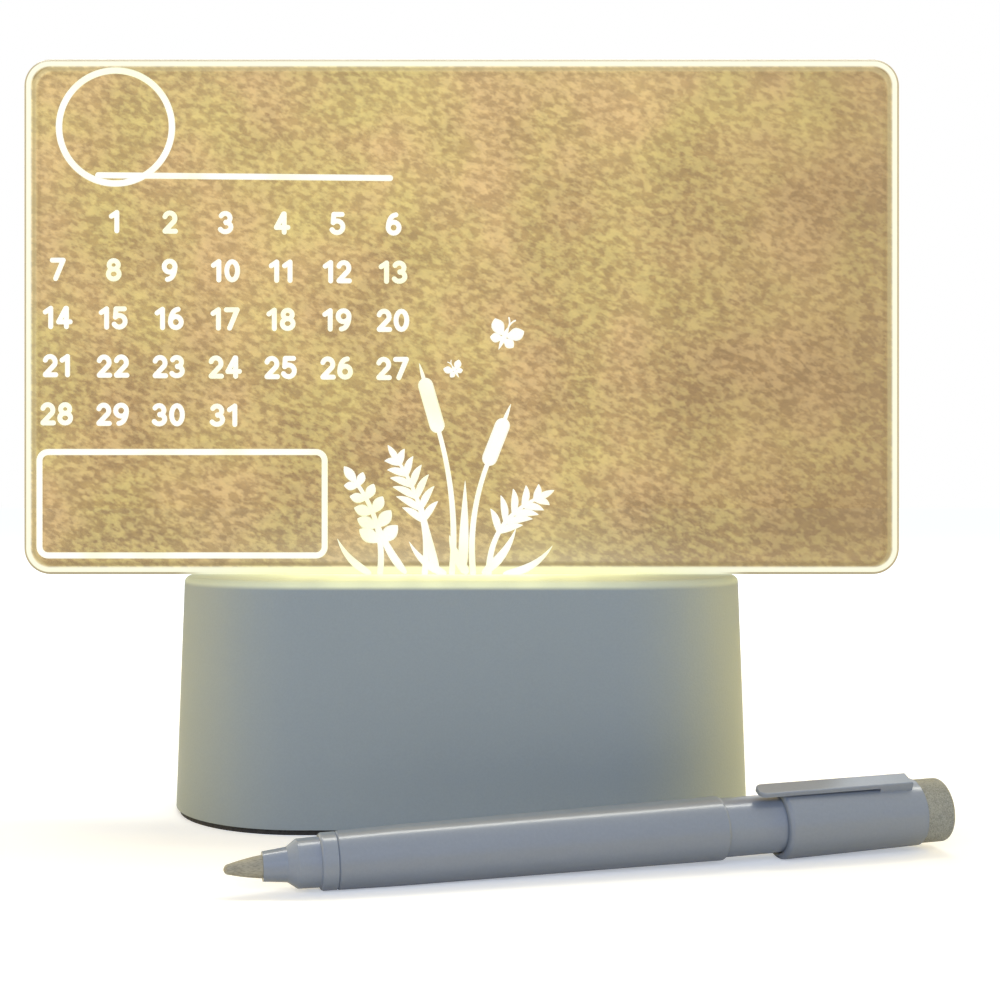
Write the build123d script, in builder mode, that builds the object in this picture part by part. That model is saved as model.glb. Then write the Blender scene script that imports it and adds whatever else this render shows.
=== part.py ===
from build123d import *
import math
import os

os.makedirs("parts", exist_ok=True)

# Lighted writing board: a clear panel stands in the slot of a moulded base, and a marker pen lies in front.
# Lengths are millimetres. The origin is the centre of the base's footprint on the table.
# X runs along the panel, Y goes back through the base and Z is up.

# Fits shared by several pieces
overrun = 1.0
screw_gap = 0.05
push_fit_gap = 0.05
head_gap = 0.3

# Base shell
straight_length = 66.0
top_radius = 30.0
draft_angle = 2.06
base_height = 53.0
wall = 2.2
top_thickness = 2.6
top_fillet = 1.6

# Panel and its tongue
panel_width = 200.0
panel_height = 117.7
panel_thickness = 4.0
panel_corner_radius = 6.0
panel_edge_chamfer = 0.4
tongue_width = 80.0
tongue_depth = 11.0
tongue_chamfer = 1.0

# Slot and the channel below it
slot_gap = 0.2
slot_mouth_chamfer = 0.5
channel_wall = 1.8
channel_end_length = 7.0

# Lamp strip under the slot
led_count = 8
led_length = 3.5
led_width = 2.8
led_height = 0.8
led_gap = 0.4
led_board_thickness = 1.2
led_board_margin = 0.5
led_screw_radius = 1.0
led_screw_length = 6.0
led_screw_head_radius = 1.9
led_screw_head_height = 1.3

# Anti-slip pad, bottom cover and its screws
pad_thickness = 1.2
pad_inset = 0.8
cover_thickness = 2.0
cover_gap = 0.2
cover_screw_radius = 1.3
cover_screw_length = 10.0
cover_screw_head_radius = 2.4
cover_screw_head_height = 1.8
cover_screw_angle = 37.0
cover_boss_wall = 1.9
cover_boss_inset = 3.2
cover_seat_wall = 1.4
cover_seat_height = 2.4
recess_depth = 0.8
recess_length = 2.2
recess_width = 0.5

# Control board inside the rear wall
control_board_width = 48.0
control_board_height = 18.0
control_board_thickness = 1.6
control_board_lift = 2.0
control_boss_radius = 2.8
control_boss_margin = 0.7
control_screw_radius = 1.0
control_screw_length = 5.0
control_screw_head_radius = 1.9
control_screw_head_height = 1.3
rear_seat_step = 0.3

# Power inlet
usb_offset = 8.0
usb_width = 8.94
usb_height = 3.26
usb_wall = 0.3
usb_setback = 0.9
usb_corner_share = 0.49
usb_window_gap = 0.2
usb_insulator_depth = 2.0
usb_insulator_gap = 0.02
usb_tongue_width = 6.7
usb_tongue_thickness = 0.7
usb_tongue_setback = 0.8
plug_recess_margin = 1.6
plug_recess_depth = 0.6

# Power button and its switch
button_offset = 9.0
button_radius = 4.0
button_gap = 0.25
button_flange_width = 1.2
button_flange_thickness = 1.0
button_travel = 1.5
button_proud_when_pressed = 0.3
button_edge_fillet = 0.6
switch_body_width = 5.8
switch_body_height = 4.2
travel_gap = 0.3
plunger_radius = 1.5
plunger_gap = 0.1
plunger_engagement = 1.0
plunger_socket_depth = 1.5

# Small parts on the control board
driver_chip_length = 4.9
driver_chip_width = 3.9
driver_chip_height = 1.5
resistor_length = 3.2
resistor_width = 1.6
resistor_height = 0.6
resistor_pitch = 3.4
resistor_count = 3

# Leads from the control board to the lamp strip
wire_radius = 0.6
wire_pitch = 2.4
wire_lead_out = 7.0
wire_lead_in = 9.0
wire_bend_share = 0.45
wire_height_share = 0.75

# Marker pen, measured along its axis from the nib's tip
pen_tip_x = -40.5
pen_tip_y = -78.8
pen_yaw = 15.0
nib_radius = 2.05
nib_tip_radius = 0.95
nib_bulge = 0.12
nib_exposed_length = 6.8
nib_stem_length = 22.0
nose_tube_wall = 0.6
nose_tube_spread = 0.45
nose_tube_length = 4.3
nose_cone_length = 1.8
nose_grip_radius = 4.38
nose_grip_spread = 0.1
nose_grip_length = 4.0
nose_flange_radius = 5.12
nose_flange_length = 3.1
nose_flange_fillet = 0.6
nose_insert_length = 6.0
seam_chamfer = 0.2
barrel_front_radius = 5.18
barrel_knee_radius = 5.45
barrel_rear_radius = 6.1
barrel_knee_length = 11.5
barrel_main_length = 62.9
barrel_rear_fillet = 0.5
filler_radius = 3.7
filler_gap = 0.3
filler_socket_clearance = 0.5
tail_radius = 5.6
tail_wall = 1.1
tail_collar_length = 8.0
tail_exposed_length = 11.9
tail_end_fillet = 0.8

# Pen cap, its clip and the felt eraser on its end
cap_length = 29.7
cap_fit_gap = 0.2
cap_wall = 1.2
cap_taper = 0.4
cap_end_thickness = 1.6
cap_rim_fillet = 0.9
cap_bottom_gap = 0.3
eraser_cup_depth = 2.2
eraser_cup_wall = 0.9
eraser_head_step = 0.35
eraser_exposed_length = 6.2
eraser_edge_fillet = 0.6
clip_width = 3.6
clip_thickness = 0.9
clip_gap = 0.25
clip_overhang = 5.1
clip_root_length = 7.0
clip_tip_fillet = 1.4
clip_edge_fillet = 0.3
clip_roll = 22.0

# Heights of the base
tan_draft = math.tan(math.radians(draft_angle))
shell_bottom_z = pad_thickness
shell_height = base_height - shell_bottom_z
cavity_top_z = base_height - top_thickness
cover_top_z = shell_bottom_z + cover_thickness
cover_seat_top_z = cover_top_z + cover_seat_height


def outer_radius(z):
    """Radius of the shell's rounded ends at a height above the table."""
    return top_radius + (base_height - z) * tan_draft


def cavity_radius(z):
    """Radius of the hollow's rounded ends at a height above the table."""
    return outer_radius(z) - wall


# Slot, channel and lamp strip
slot_width = tongue_width + 2 * slot_gap
slot_thickness = panel_thickness + 2 * slot_gap
channel_length = slot_width + 2 * channel_end_length
channel_depth = slot_thickness + 2 * channel_wall
tongue_bottom_z = base_height - tongue_depth
led_top_z = tongue_bottom_z - led_gap
led_board_top_z = led_top_z - led_height
led_board_bottom_z = led_board_top_z - led_board_thickness
led_pitch = tongue_width / led_count
led_screw_spacing = slot_width + channel_end_length
led_screw_hole_depth = led_screw_length - led_board_thickness + head_gap

# Cover screws, on a circle around each end of the shell
cover_boss_radius = cover_screw_radius + cover_boss_wall
cover_screw_circle = cavity_radius(base_height) - cover_boss_radius - cover_boss_inset
cover_screw_spacing_x = straight_length + 2 * cover_screw_circle * math.cos(math.radians(cover_screw_angle))
cover_screw_spacing_y = 2 * cover_screw_circle * math.sin(math.radians(cover_screw_angle))
head_bore_radius = cover_screw_head_radius + head_gap
head_bore_depth = cover_screw_head_height + head_gap
cover_screw_seat_z = shell_bottom_z + head_bore_depth
cover_screw_tip_z = cover_screw_seat_z + cover_screw_length

# Control board, placed from the bottom cover upwards and from the rear wall inwards
control_board_z = cover_top_z + control_board_lift + control_board_height / 2
rear_seat_y = cavity_radius(control_board_z + control_board_height / 2) - rear_seat_step
button_back_y = rear_seat_y - button_flange_thickness
switch_top_y = button_back_y - button_travel - travel_gap
control_board_y = switch_top_y - switch_body_height
control_board_back_y = control_board_y - control_board_thickness
control_screw_spacing = control_board_width - 2 * (control_boss_radius + control_boss_margin)
outer_wall_y = outer_radius(control_board_z)
usb_mouth_y = outer_wall_y - usb_setback
button_face_y = outer_wall_y + button_travel + button_proud_when_pressed

# Pen stations along its axis
nose_tube_radius = nib_radius + nose_tube_wall
nose_tube_end = nib_exposed_length + nose_tube_length
nose_cone_end = nose_tube_end + nose_cone_length
nose_flange_start = nose_cone_end + nose_grip_length
barrel_start = nose_flange_start + nose_flange_length
barrel_knee = barrel_start + barrel_knee_length
barrel_end = barrel_knee + barrel_main_length
nose_insert_end = barrel_start + nose_insert_length
tail_collar_start = barrel_end - tail_collar_length
barrel_bore_radius = filler_radius + filler_gap
insert_radius = barrel_bore_radius - push_fit_gap
nib_end = nib_exposed_length + nib_stem_length
cap_mouth = barrel_end + tail_exposed_length
cap_end = cap_mouth + cap_length
cup_floor = cap_end - eraser_cup_depth
cap_bore_end = cup_floor - cap_end_thickness
tail_end = cap_bore_end - cap_bottom_gap
pen_end = cap_end + eraser_exposed_length
cap_bore_radius = tail_radius + cap_fit_gap
cap_mouth_radius = cap_bore_radius + cap_wall
cap_end_radius = cap_mouth_radius - cap_taper
eraser_stem_radius = cap_end_radius - eraser_cup_wall - push_fit_gap
eraser_head_radius = cap_end_radius - eraser_head_step
clip_inner_radius = cap_mouth_radius + clip_gap
clip_embed_radius = cap_bore_radius + cap_wall / 4
clip_tip = cap_mouth - clip_overhang
clip_root_end = cup_floor
clip_root_start = clip_root_end - clip_root_length

# The pen lies on its barrel's knee and on whichever rim behind it asks for the steepest line.
rear_slopes = [
    (barrel_rear_radius - barrel_knee_radius) / (barrel_end - barrel_knee),
    (cap_mouth_radius - barrel_knee_radius) / (cap_mouth - barrel_knee),
    (cap_end_radius - barrel_knee_radius) / (cap_end - barrel_knee),
    (eraser_head_radius - barrel_knee_radius) / (pen_end - barrel_knee),
]
pen_pitch = math.atan(max(rear_slopes))
pen_tip_z = barrel_knee_radius * math.cos(pen_pitch) - barrel_knee * math.sin(pen_pitch)
pen_axis = Vector(1, 0, 0).rotate(Axis.Y, -math.degrees(pen_pitch)).rotate(Axis.Z, pen_yaw)
pen_tip = Vector(pen_tip_x, pen_tip_y, pen_tip_z)
pen_side = Vector(0, -1, 0).rotate(Axis.Z, pen_yaw)
pen_plane = Plane(origin=pen_tip, x_dir=pen_axis, z_dir=pen_side)
pen_line = Axis(pen_tip, pen_axis)
clip_up = pen_plane.y_dir.rotate(pen_line, clip_roll)
clip_line = Axis(pen_tip, clip_up)
clip_plane = Plane(origin=pen_tip + clip_up * clip_inner_radius, x_dir=pen_axis, z_dir=clip_up)


def pan_screw(head_radius, head_height, shank_radius, shank_length):
    """Pan-head screw seated on the origin, with its shank up and a driver's cross in its head."""
    with BuildPart() as screw:
        with BuildSketch():
            Circle(head_radius)
        extrude(amount=-head_height)
        with BuildSketch():
            Circle(shank_radius)
        extrude(amount=shank_length)
        with BuildSketch(Plane.XY.offset(-head_height)):
            Rectangle(recess_length, recess_width)
            Rectangle(recess_width, recess_length)
        extrude(amount=recess_depth, mode=Mode.SUBTRACT)
    return screw.part


def round_plane(x, y, z, direction):
    """Plane at a point, facing a direction that lies in the upright plane through Y and Z."""
    return Plane(origin=(x, y, z), x_dir=(1, 0, 0), z_dir=direction)


# Moulded shell of the base, open below, with a slot in its top
with BuildPart() as base_shell:
    with BuildSketch(Plane.XY.offset(shell_bottom_z)):
        SlotCenterToCenter(straight_length, 2 * outer_radius(shell_bottom_z))
    extrude(amount=shell_height, taper=draft_angle)
    fillet(base_shell.faces().sort_by(Axis.Z)[-1].edges(), top_fillet)
    with BuildSketch(Plane.XY.offset(shell_bottom_z)):
        SlotCenterToCenter(straight_length, 2 * cavity_radius(shell_bottom_z))
    extrude(amount=cavity_top_z - shell_bottom_z, taper=draft_angle, mode=Mode.SUBTRACT)
    # Channel under the slot, whose solid ends take the lamp strip's screws
    with BuildSketch(Plane.XY.offset(led_board_top_z)):
        Rectangle(channel_length, channel_depth)
    extrude(amount=cavity_top_z - led_board_top_z)
    # Tall bosses for the cover's screws
    with BuildSketch(Plane.XY.offset(cover_seat_top_z)):
        with GridLocations(cover_screw_spacing_x, cover_screw_spacing_y, 2, 2):
            Circle(cover_boss_radius)
    extrude(amount=cavity_top_z - cover_seat_top_z)
    # Flat seat inside the rear wall and the control board's bosses
    with BuildSketch(Plane.XZ.offset(-rear_seat_y)):
        with Locations((0, control_board_z)):
            Rectangle(control_board_width, control_board_height)
    extrude(amount=-(outer_wall_y - wall / 2 - rear_seat_y))
    with BuildSketch(Plane.XZ.offset(-control_board_y)):
        with Locations((0, control_board_z)):
            with GridLocations(control_screw_spacing, 0, 2, 1):
                Circle(control_boss_radius)
    extrude(amount=-(rear_seat_y - control_board_y))
    # Slot with an eased mouth
    with BuildSketch(Plane.XY.offset(base_height)):
        Rectangle(slot_width, slot_thickness)
    extrude(amount=-(base_height - led_board_top_z), mode=Mode.SUBTRACT)
    top_face = base_shell.faces().sort_by(Axis.Z)[-1]
    chamfer(top_face.inner_wires()[0].edges(), slot_mouth_chamfer)
    # Screw holes of the lamp strip, the cover and the control board
    with BuildSketch(Plane.XY.offset(led_board_top_z)):
        with GridLocations(led_screw_spacing, 0, 2, 1):
            Circle(led_screw_radius + screw_gap)
    extrude(amount=led_screw_hole_depth, mode=Mode.SUBTRACT)
    with BuildSketch(Plane.XY.offset(cover_seat_top_z)):
        with GridLocations(cover_screw_spacing_x, cover_screw_spacing_y, 2, 2):
            Circle(cover_screw_radius + screw_gap)
    extrude(amount=cover_screw_tip_z - cover_seat_top_z + head_gap, mode=Mode.SUBTRACT)
    with BuildSketch(Plane.XZ.offset(-control_board_y)):
        with Locations((0, control_board_z)):
            with GridLocations(control_screw_spacing, 0, 2, 1):
                Circle(control_screw_radius + screw_gap)
    extrude(amount=-(control_screw_length - control_board_thickness + head_gap), mode=Mode.SUBTRACT)
    # Button hole, inlet window and the shallow recess that admits a plug's body
    with BuildSketch(Plane.XZ.offset(-(rear_seat_y - overrun))):
        with Locations((button_offset, control_board_z)):
            Circle(button_radius + button_gap)
        with Locations((-usb_offset, control_board_z)):
            SlotOverall(usb_width + 2 * usb_window_gap, usb_height + 2 * usb_window_gap)
    extrude(amount=-(outer_wall_y - rear_seat_y + 2 * overrun), mode=Mode.SUBTRACT)
    with BuildSketch(Plane.XZ.offset(-(outer_wall_y - plug_recess_depth))):
        with Locations((-usb_offset, control_board_z)):
            SlotOverall(usb_width + 2 * plug_recess_margin, usb_height + 2 * plug_recess_margin)
    extrude(amount=-(plug_recess_depth + overrun), mode=Mode.SUBTRACT)
base_shell.part.label = "base_shell"
export_step(base_shell.part, "parts/base_shell.step")

# Cover that closes the shell from below, with raised seats for its screws
with BuildPart() as bottom_cover:
    with BuildSketch(Plane.XY.offset(shell_bottom_z)):
        SlotCenterToCenter(straight_length, 2 * (cavity_radius(cover_top_z) - cover_gap))
    extrude(amount=cover_thickness)
    with BuildSketch(Plane.XY.offset(cover_top_z)):
        with GridLocations(cover_screw_spacing_x, cover_screw_spacing_y, 2, 2):
            Circle(head_bore_radius + cover_seat_wall)
    extrude(amount=cover_seat_height)
    with BuildSketch(Plane.XY.offset(shell_bottom_z)):
        with GridLocations(cover_screw_spacing_x, cover_screw_spacing_y, 2, 2):
            Circle(head_bore_radius)
    extrude(amount=head_bore_depth, mode=Mode.SUBTRACT)
    with BuildSketch(Plane.XY.offset(shell_bottom_z)):
        with GridLocations(cover_screw_spacing_x, cover_screw_spacing_y, 2, 2):
            Circle(cover_screw_radius + screw_gap)
    extrude(amount=cover_thickness + cover_seat_height, mode=Mode.SUBTRACT)
bottom_cover.part.label = "bottom_cover"
export_step(bottom_cover.part, "parts/bottom_cover.step")

# Foam pad glued under the cover and the shell's rim, punched where the screws are
with BuildPart() as anti_slip_pad:
    with BuildSketch():
        SlotCenterToCenter(straight_length, 2 * (outer_radius(shell_bottom_z) - pad_inset))
        with GridLocations(cover_screw_spacing_x, cover_screw_spacing_y, 2, 2):
            Circle(head_bore_radius, mode=Mode.SUBTRACT)
    extrude(amount=pad_thickness)
anti_slip_pad.part.label = "anti_slip_pad"
export_step(anti_slip_pad.part, "parts/anti_slip_pad.step")

cover_screw = pan_screw(
    cover_screw_head_radius, cover_screw_head_height, cover_screw_radius, cover_screw_length
)
with BuildPart() as cover_screws:
    with Locations((0, 0, cover_screw_seat_z)):
        with GridLocations(cover_screw_spacing_x, cover_screw_spacing_y, 2, 2):
            add(cover_screw)
cover_screws.part.label = "cover_screws"
export_step(cover_screws.part, "parts/cover_screws.step")

# Lamp strip: a narrow board whose lamps shine up into the panel's tongue
with BuildPart() as led_board:
    with BuildSketch(Plane.XY.offset(led_board_bottom_z)):
        Rectangle(channel_length, channel_depth + 2 * led_board_margin)
        with GridLocations(led_screw_spacing, 0, 2, 1):
            Circle(led_screw_radius + screw_gap, mode=Mode.SUBTRACT)
    extrude(amount=led_board_thickness)
led_board.part.label = "led_board"
export_step(led_board.part, "parts/led_board.step")

with BuildPart() as led_chips:
    with BuildSketch(Plane.XY.offset(led_board_top_z)):
        with GridLocations(led_pitch, 0, led_count, 1):
            Rectangle(led_length, led_width)
    extrude(amount=led_height)
led_chips.part.label = "led_chips"
export_step(led_chips.part, "parts/led_chips.step")

led_screw = pan_screw(led_screw_head_radius, led_screw_head_height, led_screw_radius, led_screw_length)
with BuildPart() as led_board_screws:
    with Locations((0, 0, led_board_bottom_z)):
        with GridLocations(led_screw_spacing, 0, 2, 1):
            add(led_screw)
led_board_screws.part.label = "led_board_screws"
export_step(led_board_screws.part, "parts/led_board_screws.step")

# Control board, upright behind the rear wall
with BuildPart() as control_board:
    with BuildSketch(Plane.XZ.offset(-control_board_back_y)):
        with Locations((0, control_board_z)):
            Rectangle(control_board_width, control_board_height)
            with GridLocations(control_screw_spacing, 0, 2, 1):
                Circle(control_screw_radius + screw_gap, mode=Mode.SUBTRACT)
    extrude(amount=-control_board_thickness)
control_board.part.label = "control_board"
export_step(control_board.part, "parts/control_board.step")

control_screw = pan_screw(
    control_screw_head_radius, control_screw_head_height, control_screw_radius, control_screw_length
)
with BuildPart() as control_board_screws:
    with Locations(Location((0, control_board_back_y, control_board_z), (-90, 0, 0))):
        with GridLocations(control_screw_spacing, 0, 2, 1):
            add(control_screw)
control_board_screws.part.label = "control_board_screws"
export_step(control_board_screws.part, "parts/control_board_screws.step")

# Power inlet: a metal shell around an insulator with its contact tongue
with BuildPart() as usb_shell:
    with BuildSketch(Plane.XZ.offset(-control_board_y)):
        with Locations((-usb_offset, control_board_z)):
            RectangleRounded(usb_width, usb_height, usb_corner_share * usb_height)
            RectangleRounded(
                usb_width - 2 * usb_wall,
                usb_height - 2 * usb_wall,
                usb_corner_share * (usb_height - 2 * usb_wall),
                mode=Mode.SUBTRACT,
            )
    extrude(amount=-(usb_mouth_y - control_board_y))
usb_shell.part.label = "usb_shell"
export_step(usb_shell.part, "parts/usb_shell.step")

with BuildPart() as usb_tongue:
    with BuildSketch(Plane.XZ.offset(-control_board_y)):
        with Locations((-usb_offset, control_board_z)):
            RectangleRounded(
                usb_width - 2 * (usb_wall + usb_insulator_gap),
                usb_height - 2 * (usb_wall + usb_insulator_gap),
                usb_corner_share * (usb_height - 2 * (usb_wall + usb_insulator_gap)),
            )
    extrude(amount=-usb_insulator_depth)
    with BuildSketch(Plane.XZ.offset(-control_board_y)):
        with Locations((-usb_offset, control_board_z)):
            Rectangle(usb_tongue_width, usb_tongue_thickness)
    extrude(amount=-(usb_mouth_y - usb_tongue_setback - control_board_y))
usb_tongue.part.label = "usb_tongue"
export_step(usb_tongue.part, "parts/usb_tongue.step")

# Push switch with its plunger, and the button that covers it
with BuildPart() as switch_body:
    with BuildSketch(Plane.XZ.offset(-control_board_y)):
        with Locations((button_offset, control_board_z)):
            Rectangle(switch_body_width, switch_body_width)
    extrude(amount=-switch_body_height)
    with BuildSketch(Plane.XZ.offset(-switch_top_y)):
        with Locations((button_offset, control_board_z)):
            Circle(plunger_radius + plunger_gap)
    extrude(amount=plunger_engagement + button_travel + travel_gap, mode=Mode.SUBTRACT)
switch_body.part.label = "switch_body"
export_step(switch_body.part, "parts/switch_body.step")

with BuildPart() as switch_plunger:
    with BuildSketch(Plane.XZ.offset(-(switch_top_y - plunger_engagement))):
        with Locations((button_offset, control_board_z)):
            Circle(plunger_radius)
    extrude(amount=-(button_back_y + plunger_socket_depth - switch_top_y + plunger_engagement))
switch_plunger.part.label = "switch_plunger"
export_step(switch_plunger.part, "parts/switch_plunger.step")

with BuildPart() as power_button:
    with BuildSketch(Plane.XZ.offset(-button_back_y)):
        with Locations((button_offset, control_board_z)):
            Circle(button_radius + button_flange_width)
    extrude(amount=-button_flange_thickness)
    with BuildSketch(Plane.XZ.offset(-rear_seat_y)):
        with Locations((button_offset, control_board_z)):
            Circle(button_radius)
    extrude(amount=-(button_face_y - rear_seat_y))
    fillet(power_button.faces().sort_by(Axis.Y)[-1].edges(), button_edge_fillet)
    with BuildSketch(Plane.XZ.offset(-button_back_y)):
        with Locations((button_offset, control_board_z)):
            Circle(plunger_radius + push_fit_gap)
    extrude(amount=-plunger_socket_depth, mode=Mode.SUBTRACT)
power_button.part.label = "power_button"
export_step(power_button.part, "parts/power_button.step")

# Driver chip and resistors on the control board's inner face
with BuildPart() as driver_chip:
    with BuildSketch(Plane.XZ.offset(-control_board_back_y)):
        with Locations((button_offset, control_board_z)):
            Rectangle(driver_chip_length, driver_chip_width)
    extrude(amount=driver_chip_height)
driver_chip.part.label = "driver_chip"
export_step(driver_chip.part, "parts/driver_chip.step")

with BuildPart() as chip_resistors:
    with BuildSketch(Plane.XZ.offset(-control_board_back_y)):
        with Locations((-usb_offset, control_board_z)):
            with GridLocations(0, resistor_pitch, 1, resistor_count):
                Rectangle(resistor_length, resistor_width)
    extrude(amount=resistor_height)
chip_resistors.part.label = "chip_resistors"
export_step(chip_resistors.part, "parts/chip_resistors.step")

# Two leads from the control board up to the lamp strip
wire_start_z = cover_top_z + control_board_lift + wire_height_share * control_board_height
wire_bend_y = control_board_back_y - wire_lead_out
wire_turn_z = led_board_bottom_z - wire_lead_in
wire_slope = math.atan2(wire_turn_z - wire_start_z, wire_bend_y)
wire_middle = math.hypot(wire_turn_z - wire_start_z, wire_bend_y)
wire_first_bend = wire_bend_share * min(wire_lead_out, wire_middle) / math.tan(wire_slope / 2)
wire_second_bend = wire_bend_share * min(wire_lead_in, wire_middle) / math.tan((math.pi / 2 - wire_slope) / 2)
print("bend radii of the leads:", round(wire_first_bend, 2), round(wire_second_bend, 2))
for wire_name, wire_x in (("wire_red", -wire_pitch / 2), ("wire_black", wire_pitch / 2)):
    with BuildPart() as wire:
        with BuildLine() as wire_route:
            FilletPolyline(
                (wire_x, control_board_back_y, wire_start_z),
                (wire_x, wire_bend_y, wire_start_z),
                (wire_x, 0, wire_turn_z),
                (wire_x, 0, led_board_bottom_z),
                radius=[wire_first_bend, wire_second_bend],
            )
        with BuildSketch(round_plane(wire_x, control_board_back_y, wire_start_z, (0, -1, 0))):
            Circle(wire_radius)
        sweep(path=wire_route.wires()[0])
    wire.part.label = wire_name
    export_step(wire.part, f"parts/{wire_name}.step")

# Clear panel with rounded corners and the tongue that stands in the slot
with BuildPart() as acrylic_panel:
    with BuildSketch(Plane.XZ):
        with Locations((0, base_height + panel_height / 2)):
            RectangleRounded(panel_width, panel_height, panel_corner_radius)
    extrude(amount=panel_thickness / 2, both=True)
    panel_faces = acrylic_panel.faces().filter_by(Axis.Y)
    chamfer(panel_faces.edges(), panel_edge_chamfer)
    with BuildSketch(Plane.XZ) as tongue:
        with Locations((0, tongue_bottom_z)):
            Rectangle(tongue_width, tongue_depth + panel_corner_radius, align=(Align.CENTER, Align.MIN))
        chamfer(tongue.vertices().group_by(Axis.Y)[0], tongue_chamfer)
    extrude(amount=panel_thickness / 2, both=True)
acrylic_panel.part.label = "acrylic_panel"
export_step(acrylic_panel.part, "parts/acrylic_panel.step")

# Pen: felt nib in a nose piece, fibre filler in the barrel and a tail plug that takes the cap
with BuildPart() as pen_nib:
    with BuildSketch(pen_plane):
        with BuildLine():
            tip_arc = RadiusArc((0, 0), (nib_tip_radius, nib_tip_radius), nib_tip_radius)
            nib_side = SagittaArc(tip_arc @ 1, (nib_exposed_length, nib_radius), nib_bulge)
            Polyline(
                nib_side @ 1,
                (nib_end, nib_radius),
                (nib_end, 0),
                (0, 0),
            )
        make_face()
    revolve(axis=pen_line)
pen_nib.part.label = "pen_nib"
export_step(pen_nib.part, "parts/pen_nib.step")

with BuildPart() as pen_nose:
    with BuildSketch(pen_plane):
        with BuildLine():
            Polyline(
                (nib_exposed_length, nib_radius + push_fit_gap),
                (nib_exposed_length, nose_tube_radius),
                (nose_tube_end, nose_tube_radius + nose_tube_spread),
                (nose_cone_end, nose_grip_radius),
                (nose_flange_start, nose_grip_radius + nose_grip_spread),
                (nose_flange_start, nose_flange_radius),
                (barrel_start, nose_flange_radius),
                (barrel_start, insert_radius),
                (nose_insert_end, insert_radius),
                (nose_insert_end, nib_radius + push_fit_gap),
                close=True,
            )
        make_face()
    revolve(axis=pen_line)
    nose_rims = pen_nose.edges().filter_by(GeomType.CIRCLE).sort_by(SortBy.RADIUS)
    flange_rims = nose_rims[-2:].sort_by(pen_line)
    fillet(flange_rims[0], nose_flange_fillet)
    chamfer(flange_rims[-1], seam_chamfer)
pen_nose.part.label = "pen_nose"
export_step(pen_nose.part, "parts/pen_nose.step")

with BuildPart() as pen_barrel:
    with BuildSketch(pen_plane):
        with BuildLine():
            Polyline(
                (barrel_start, barrel_bore_radius),
                (barrel_start, barrel_front_radius),
                (barrel_knee, barrel_knee_radius),
                (barrel_end, barrel_rear_radius),
                (barrel_end, barrel_bore_radius),
                close=True,
            )
        make_face()
    revolve(axis=pen_line)
    front_rim = pen_barrel.faces().sort_by(pen_line)[0].edges().sort_by(SortBy.RADIUS)[-1]
    chamfer(front_rim, seam_chamfer)
    rear_rim = pen_barrel.faces().sort_by(pen_line)[-1].edges().sort_by(SortBy.RADIUS)[-1]
    fillet(rear_rim, barrel_rear_fillet)
pen_barrel.part.label = "pen_barrel"
export_step(pen_barrel.part, "parts/pen_barrel.step")

with BuildPart() as ink_filler:
    with BuildSketch(pen_plane):
        with BuildLine():
            Polyline(
                (nose_insert_end, nib_radius + push_fit_gap),
                (nose_insert_end, filler_radius),
                (tail_collar_start, filler_radius),
                (tail_collar_start, 0),
                (nib_end + filler_socket_clearance, 0),
                (nib_end + filler_socket_clearance, nib_radius + push_fit_gap),
                close=True,
            )
        make_face()
    revolve(axis=pen_line)
ink_filler.part.label = "ink_filler"
export_step(ink_filler.part, "parts/ink_filler.step")

with BuildPart() as tail_plug:
    with BuildSketch(pen_plane):
        with BuildLine():
            Polyline(
                (tail_collar_start, insert_radius - tail_wall),
                (tail_collar_start, insert_radius),
                (barrel_end, insert_radius),
                (barrel_end, tail_radius),
                (tail_end, tail_radius),
                (tail_end, 0),
                (tail_end - tail_wall, 0),
                (tail_end - tail_wall, insert_radius - tail_wall),
                close=True,
            )
        make_face()
    revolve(axis=pen_line)
    tail_rim = tail_plug.faces().sort_by(pen_line)[-1].edges()
    fillet(tail_rim, tail_end_fillet)
tail_plug.part.label = "tail_plug"
export_step(tail_plug.part, "parts/tail_plug.step")

# Cap, pushed over the pen's tail, with its clip and the cup for the eraser
with BuildPart() as pen_cap:
    with BuildSketch(clip_plane) as clip_outline:
        with Locations((clip_tip, 0)):
            Rectangle(clip_root_end - clip_tip, clip_width, align=(Align.MIN, Align.CENTER))
        fillet(clip_outline.vertices().group_by(Axis.X)[0], clip_tip_fillet)
    extrude(amount=clip_thickness)
    fillet(pen_cap.faces().sort_by(clip_line)[-1].edges(), clip_edge_fillet)
    with BuildSketch(clip_plane):
        with Locations((clip_root_start, 0)):
            Rectangle(clip_root_end - clip_root_start, clip_width, align=(Align.MIN, Align.CENTER))
    extrude(amount=clip_embed_radius - clip_inner_radius)
    with BuildSketch(pen_plane):
        with BuildLine():
            Polyline(
                (cap_mouth, cap_bore_radius),
                (cap_mouth, cap_mouth_radius),
                (cap_end, cap_end_radius),
                (cap_end, eraser_stem_radius + push_fit_gap),
                (cup_floor, eraser_stem_radius + push_fit_gap),
                (cup_floor, 0),
                (cap_bore_end, 0),
                (cap_bore_end, cap_bore_radius),
                close=True,
            )
        make_face()
    revolve(axis=pen_line)
    mouth_face = pen_cap.faces().filter_by(pen_line).sort_by(pen_line)[1]
    fillet(mouth_face.edges().sort_by(SortBy.RADIUS)[-1], cap_rim_fillet)
pen_cap.part.label = "pen_cap"
export_step(pen_cap.part, "parts/pen_cap.step")

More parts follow.
